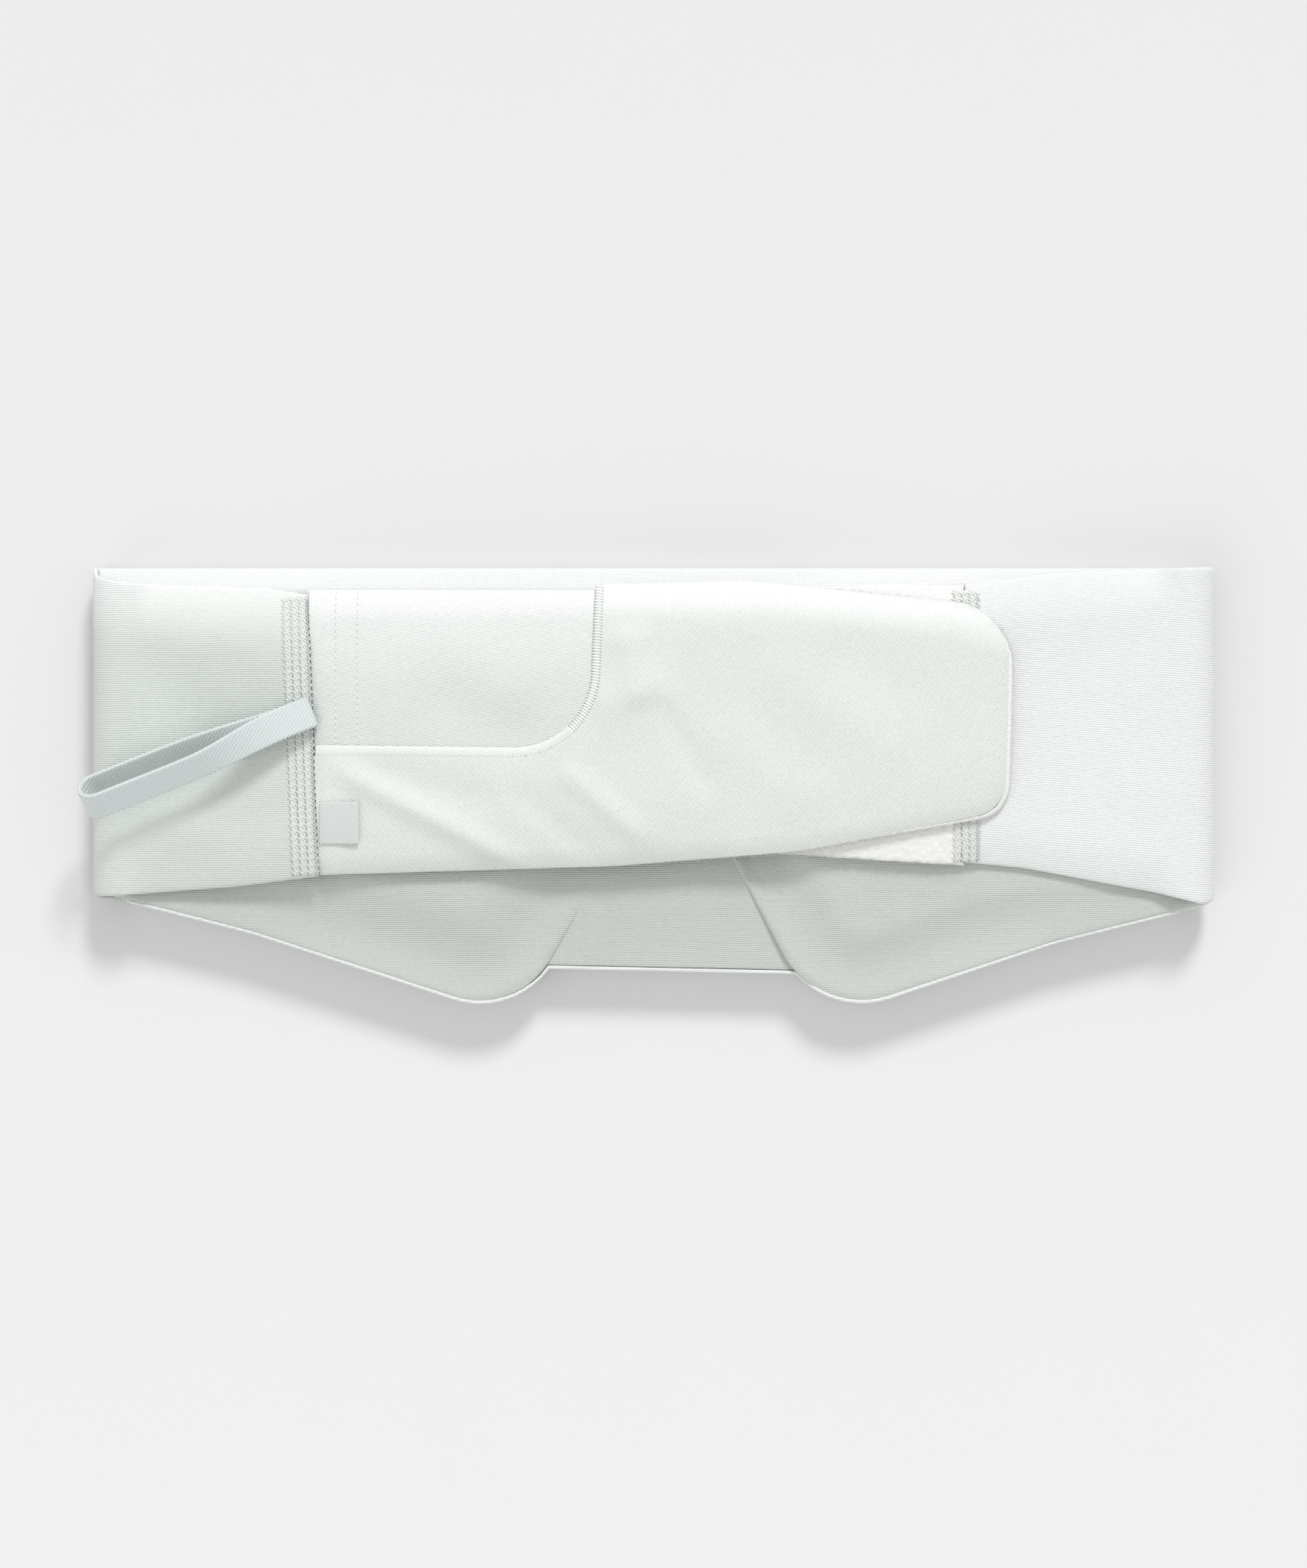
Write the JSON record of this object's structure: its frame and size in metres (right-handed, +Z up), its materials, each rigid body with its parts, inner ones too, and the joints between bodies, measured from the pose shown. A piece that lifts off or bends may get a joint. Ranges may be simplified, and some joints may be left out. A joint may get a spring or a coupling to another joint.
{
  "type": "eye pillow",
  "caption": "Weighted wrap-around eye pillow: padded eye lobes on a headband with a rip-tape closure flap, scoop pocket and hanging loop, laid flat.",
  "frame": {"origin": "on the resting face, in the middle between the outsides of the two folds, which is also the middle of the band's height", "axes": "+X towards the right fold, +Y towards the forehead edge, +Z up from the resting face to the closure flap"},
  "size_m": [0.2826, 0.1083, 0.0295],
  "materials": {
    "face_knit": "pale mint double knit with fine ribs, matt",
    "lining_knit": "grey-mint fine-ribbed lining knit, matt",
    "brushed_white": "white brushed loop pile, matt and fuzzy",
    "woven_tape": "pale blue-mint woven elastic tape with raised edges",
    "thread": "mint sewing thread, slight sheen",
    "label_satin": "satin-woven blank label",
    "blackout": "black light-stopping interlining",
    "pouch_cloth": "plain tight-woven pouch cloth",
    "beads": "fine round weight beads",
    "batting": "white polyester batting",
    "hook_plastic": "moulded hook tape"
  },
  "bodies": {
    "eye_panel": {"outer_shell": "face_knit", "blackout_layer": "blackout", "nose_panel": "lining_knit", "left_fold": "face_knit", "right_fold": "face_knit", "left_pouch_base": "pouch_cloth", "left_bead_fill": "beads", "left_pouch_cover": "pouch_cloth", "left_batting": "batting", "left_lobe_lining": "lining_knit", "right_pouch_base": "pouch_cloth", "right_bead_fill": "beads", "right_pouch_cover": "pouch_cloth", "right_batting": "batting", "right_lobe_lining": "lining_knit"},
    "left_strap": {"left_strap_face": "face_knit", "left_strap_backing": "brushed_white", "left_seam_stitching": "thread"},
    "closure_flap": {"flap_face": "face_knit", "flap_backing": "brushed_white", "pocket_bag": "face_knit", "pocket_mouth_edge": "thread", "inner_topstitch": "thread", "outer_topstitch": "thread", "woven_label": "label_satin", "hook_tape": "hook_plastic"},
    "hanging_loop": {"hanging_loop": "woven_tape"},
    "right_strap": {"right_strap_face": "face_knit", "right_strap_backing": "brushed_white", "landing_panel": "brushed_white", "right_seam_stitching": "thread"}
  },
  "joints": [
    {"name": "left_fold_hinge", "type": "hinge", "parent": "eye_panel", "child": "left_strap", "pos_m": [-0.134, 0, 0.0079], "axis": [0, -1, 0], "range_deg": [0, 170], "deforming": ["left_fold"]},
    {"name": "right_fold_hinge", "type": "hinge", "parent": "eye_panel", "child": "right_strap", "pos_m": [0.134, 0, 0.0079], "axis": [0, 1, 0], "range_deg": [0, 170], "deforming": ["right_fold"]},
    {"name": "flap_seam_hinge", "type": "hinge", "parent": "left_strap", "child": "closure_flap", "pos_m": [-0.08395, 0.0121, 0.0202], "axis": [0.0385, -0.9993, 0], "range_deg": [0, 100]},
    {"name": "loop_hinge", "type": "hinge", "parent": "left_strap", "child": "hanging_loop", "pos_m": [-0.0858, 0.017, 0.0199], "axis": [0, 1, 0], "range_deg": [0, 40]}
  ],
  "couplings": [
    {"joint": "right_fold_hinge", "follows": "left_fold_hinge", "ratio": 1}
  ]
}
